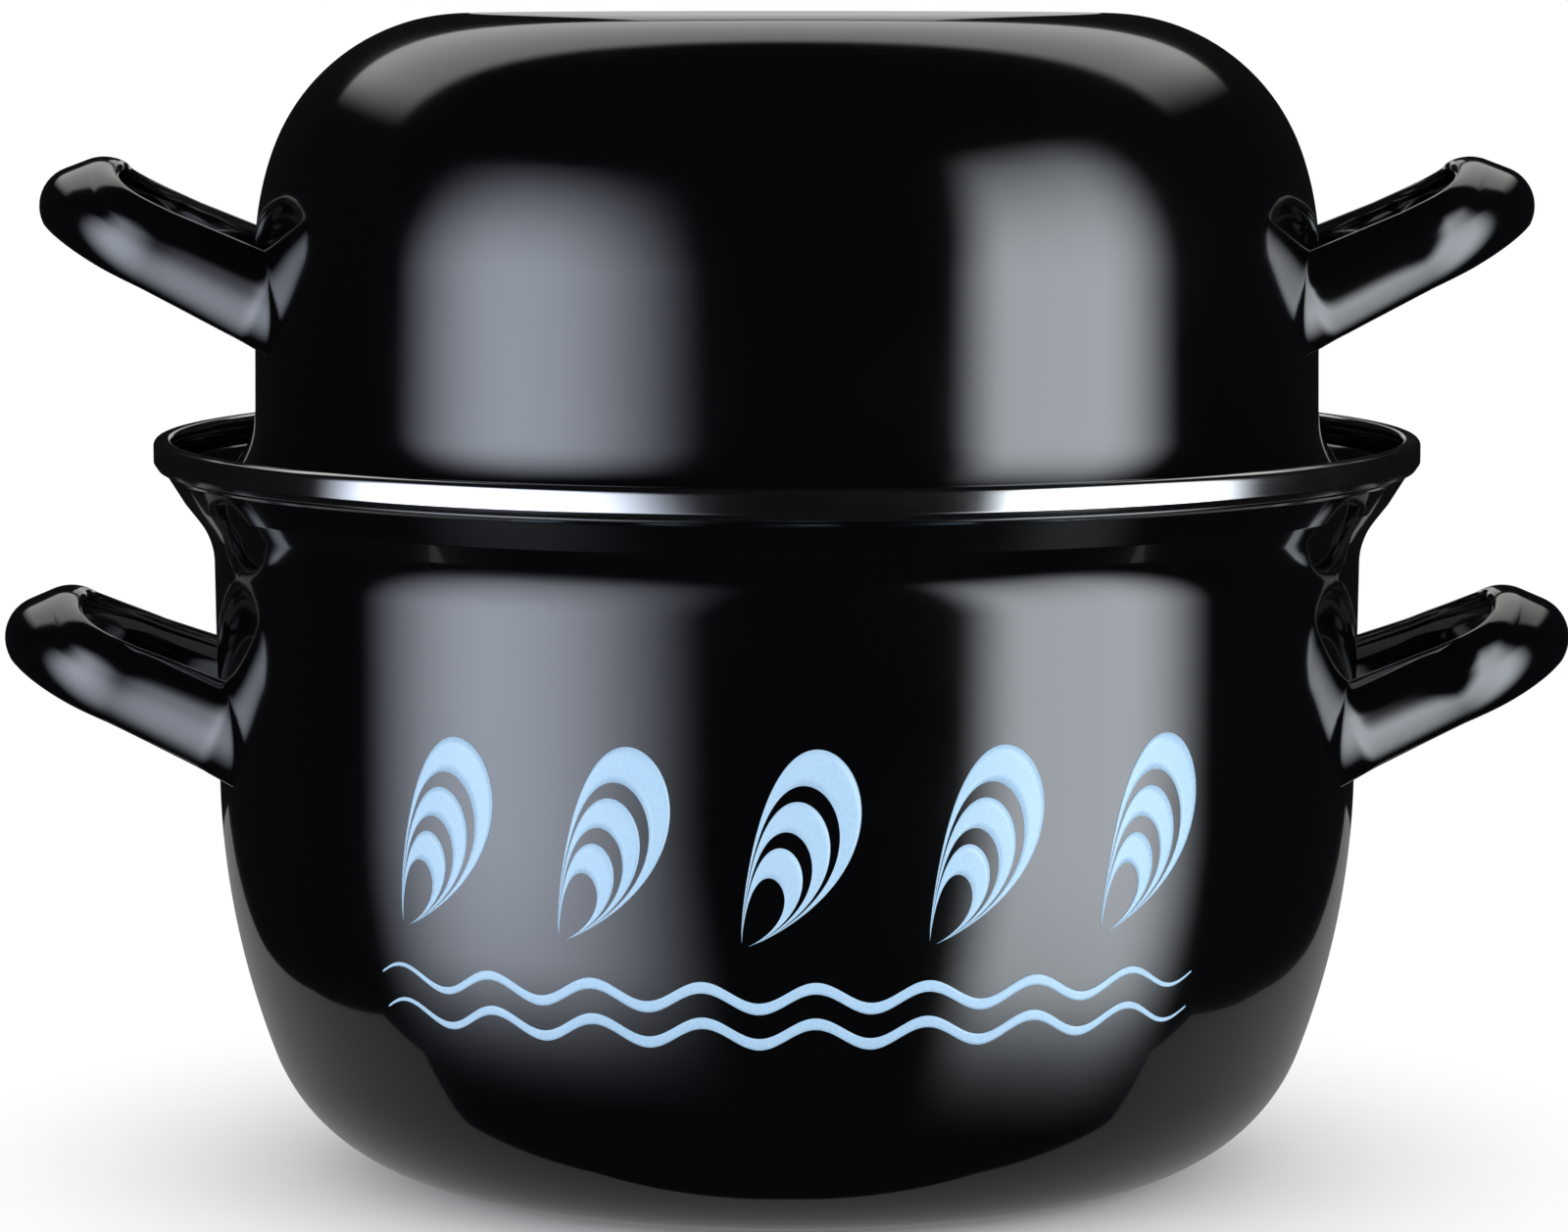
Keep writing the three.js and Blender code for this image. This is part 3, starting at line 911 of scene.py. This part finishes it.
def dark_room():
    """Closed dark sphere round the pot and its lamps, seen only in reflections: painted shade for the unlit
    studio.
    """
    vertices = []
    faces = []
    for i in range(ROOM_ROWS + 1):
        elevation = math.pi * (i / ROOM_ROWS - 0.5)
        ring_r = ROOM_R * math.cos(elevation)
        z = ROOM_R * math.sin(elevation)
        for j in range(ROOM_COLUMNS):
            azimuth = 2 * math.pi * j / ROOM_COLUMNS
            vertices.append((ring_r * math.cos(azimuth), ring_r * math.sin(azimuth), z))
    for i in range(ROOM_ROWS):
        for j in range(ROOM_COLUMNS):
            a = i * ROOM_COLUMNS + j
            b = i * ROOM_COLUMNS + (j + 1) % ROOM_COLUMNS
            faces.append((a, b, b + ROOM_COLUMNS, a + ROOM_COLUMNS))
    room = stage_mesh("dark_room", vertices, faces, dark_material("dark_studio"))
    only_in_reflections(room)


dark_room()

# Two tall lamps in front, to the left and right, and a wide one level above and behind
LIGHT_TARGET = Vector((0.0, 0.0, 0.10))
TOP_LAMP = Vector((-0.1, 1.33, 1.2))


def softbox(name, place, target, width, height, radiance, colour, fades):
    """Large lamp turned towards a target, with edges that die away.

    The fades are the shares of its width and height over which they do so: left, right, below and above
    as the pot sees them.
    """
    lamp = bpy.data.lights.new(name, "AREA")
    lamp.shape = "RECTANGLE"
    lamp.size = width
    lamp.size_y = height
    lamp.energy = radiance * math.pi * width * height
    lamp.color = colour
    lamp.use_nodes = True
    tree = lamp.node_tree
    share = add_node(tree, "ShaderNodeNewGeometry").outputs["Parametric"]
    spot = add_node(tree, "ShaderNodeSeparateXYZ", {0: share}).outputs
    left, right, below, above = fades
    level = fade(tree, spot["X"], 0.0, right)
    for axis, start, end in (("X", 1.0, 1.0 - left), ("Y", 0.0, below), ("Y", 1.0, 1.0 - above)):
        level = calculate(tree, "MULTIPLY", level, fade(tree, spot[axis], start, end))
    tree.links.new(level, tree.nodes["Emission"].inputs["Strength"])
    stand = bpy.data.objects.new(name, lamp)
    stand.location = place
    stand.rotation_euler = (stand.location - target).to_track_quat("Z", "Y").to_euler()
    stand.visible_camera = False
    bpy.context.scene.collection.objects.link(stand)


def around(azimuth, distance, z):
    """Place at an angle to the left of the camera as the pot sees it."""
    turn = math.radians(azimuth)
    return Vector((-distance * math.sin(turn), -distance * math.cos(turn), z))


softbox("left_softbox", place=around(azimuth=52.0, distance=1.0, z=-0.138), target=LIGHT_TARGET,
        width=1.58, height=2.50, radiance=5.3, colour=(0.78, 0.85, 1.0), fades=(0.52, 0.45, 0.705, 0.51))
softbox("right_softbox", place=around(azimuth=-60.0, distance=1.0, z=-0.03), target=LIGHT_TARGET,
        width=1.11, height=2.64, radiance=4.75, colour=(0.86, 0.93, 1.0), fades=(0.42, 0.27, 0.50, 0.46))
softbox("top_softbox", place=TOP_LAMP, target=Vector((TOP_LAMP.x, TOP_LAMP.y, 0.0)),
        width=3.1, height=1.65, radiance=0.72, colour=(1.0, 0.985, 0.96), fades=(0.22, 0.22, 0.10, 0.10))


def world_light():
    """White background, with a plain grey for the light that falls from all round."""
    world = bpy.data.worlds.new("studio")
    world.use_nodes = True
    tree = world.node_tree
    ambient = tree.nodes["Background"]
    ambient.inputs["Color"].default_value = AMBIENT_COLOUR
    ambient.inputs["Strength"].default_value = AMBIENT
    white = add_node(tree, "ShaderNodeBackground", {"Color": (1.0, 1.0, 1.0, 1.0), "Strength": 1.0})
    mixed = add_node(tree, "ShaderNodeMixShader", {0: light_path_white(tree), 1: ambient.outputs[0],
                                                   2: white.outputs[0]})
    tree.links.new(mixed.outputs[0], tree.nodes["World Output"].inputs["Surface"])
    bpy.context.scene.world = world


world_light()

camera_data = bpy.data.cameras.new("camera")
camera_data.lens = CAMERA_LENS
camera_data.sensor_width = CAMERA_SENSOR
camera_data.sensor_fit = "HORIZONTAL"
camera = bpy.data.objects.new("camera", camera_data)
camera.location = CAMERA_PLACE
camera.rotation_euler = (math.radians(90 - CAMERA_PITCH), 0.0, 0.0)
bpy.context.scene.collection.objects.link(camera)
bpy.context.scene.camera = camera
bpy.context.scene.view_settings.view_transform = "Standard"
